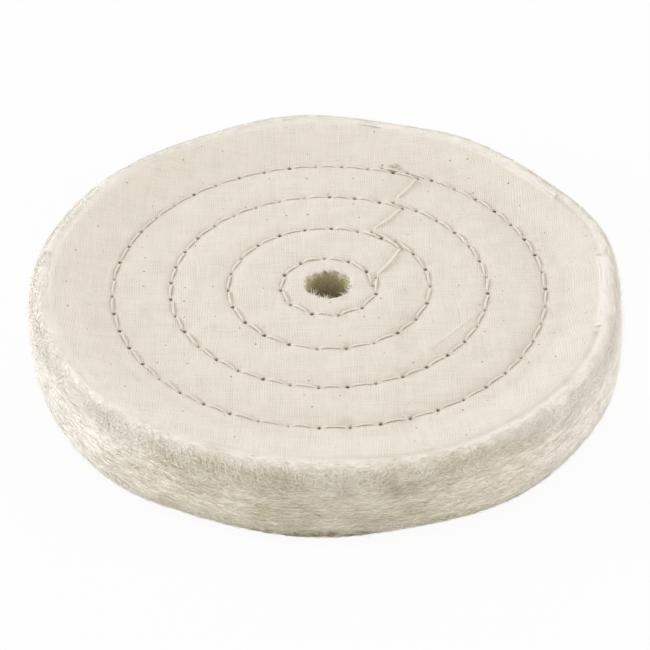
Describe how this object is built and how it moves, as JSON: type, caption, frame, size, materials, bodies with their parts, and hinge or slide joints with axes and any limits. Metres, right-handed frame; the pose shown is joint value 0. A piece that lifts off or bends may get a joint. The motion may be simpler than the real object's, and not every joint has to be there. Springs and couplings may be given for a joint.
{
  "type": "cotton polishing wheel",
  "caption": "Round concentric-sewn cotton polishing wheel: soft cloth plies stitched together in rings, with a frayed loose rim and a plain central arbor hole.",
  "frame": {"origin": "centre of the arbor bore, midway through the stack of plies", "axes": "+Z along the arbor axis, out of the face that lies upwards; +X and +Y in the plane of the plies"},
  "size_m": [0.15, 0.15, 0.0204],
  "materials": {
    "face_cotton": "unbleached plain-weave cotton, matte",
    "inner_cotton": "unbleached plain-weave cotton, frayed at its edges, matte",
    "needle_thread": "twisted cotton thread, matte",
    "bobbin_thread": "twisted cotton thread, matte"
  },
  "bodies": {
    "root": {"top_face_ply": "face_cotton", "inner_ply_02": "inner_cotton", "inner_ply_03": "inner_cotton", "inner_ply_04": "inner_cotton", "inner_ply_05": "inner_cotton", "inner_ply_06": "inner_cotton", "inner_ply_07": "inner_cotton", "inner_ply_08": "inner_cotton", "inner_ply_09": "inner_cotton", "inner_ply_10": "inner_cotton", "inner_ply_11": "inner_cotton", "inner_ply_12": "inner_cotton", "inner_ply_13": "inner_cotton", "inner_ply_14": "inner_cotton", "inner_ply_15": "inner_cotton", "inner_ply_16": "inner_cotton", "inner_ply_17": "inner_cotton", "inner_ply_18": "inner_cotton", "inner_ply_19": "inner_cotton", "inner_ply_20": "inner_cotton", "inner_ply_21": "inner_cotton", "inner_ply_22": "inner_cotton", "inner_ply_23": "inner_cotton", "inner_ply_24": "inner_cotton", "inner_ply_25": "inner_cotton", "inner_ply_26": "inner_cotton", "inner_ply_27": "inner_cotton", "inner_ply_28": "inner_cotton", "inner_ply_29": "inner_cotton", "inner_ply_30": "inner_cotton", "inner_ply_31": "inner_cotton", "inner_ply_32": "inner_cotton", "inner_ply_33": "inner_cotton", "inner_ply_34": "inner_cotton", "inner_ply_35": "inner_cotton", "inner_ply_36": "inner_cotton", "inner_ply_37": "inner_cotton", "inner_ply_38": "inner_cotton", "inner_ply_39": "inner_cotton", "inner_ply_40": "inner_cotton", "inner_ply_41": "inner_cotton", "inner_ply_42": "inner_cotton", "inner_ply_43": "inner_cotton", "inner_ply_44": "inner_cotton", "inner_ply_45": "inner_cotton", "inner_ply_46": "inner_cotton", "inner_ply_47": "inner_cotton", "inner_ply_48": "inner_cotton", "inner_ply_49": "inner_cotton", "bottom_face_ply": "face_cotton", "needle_thread": "needle_thread", "bobbin_thread": "bobbin_thread"}
  },
  "joints": []
}
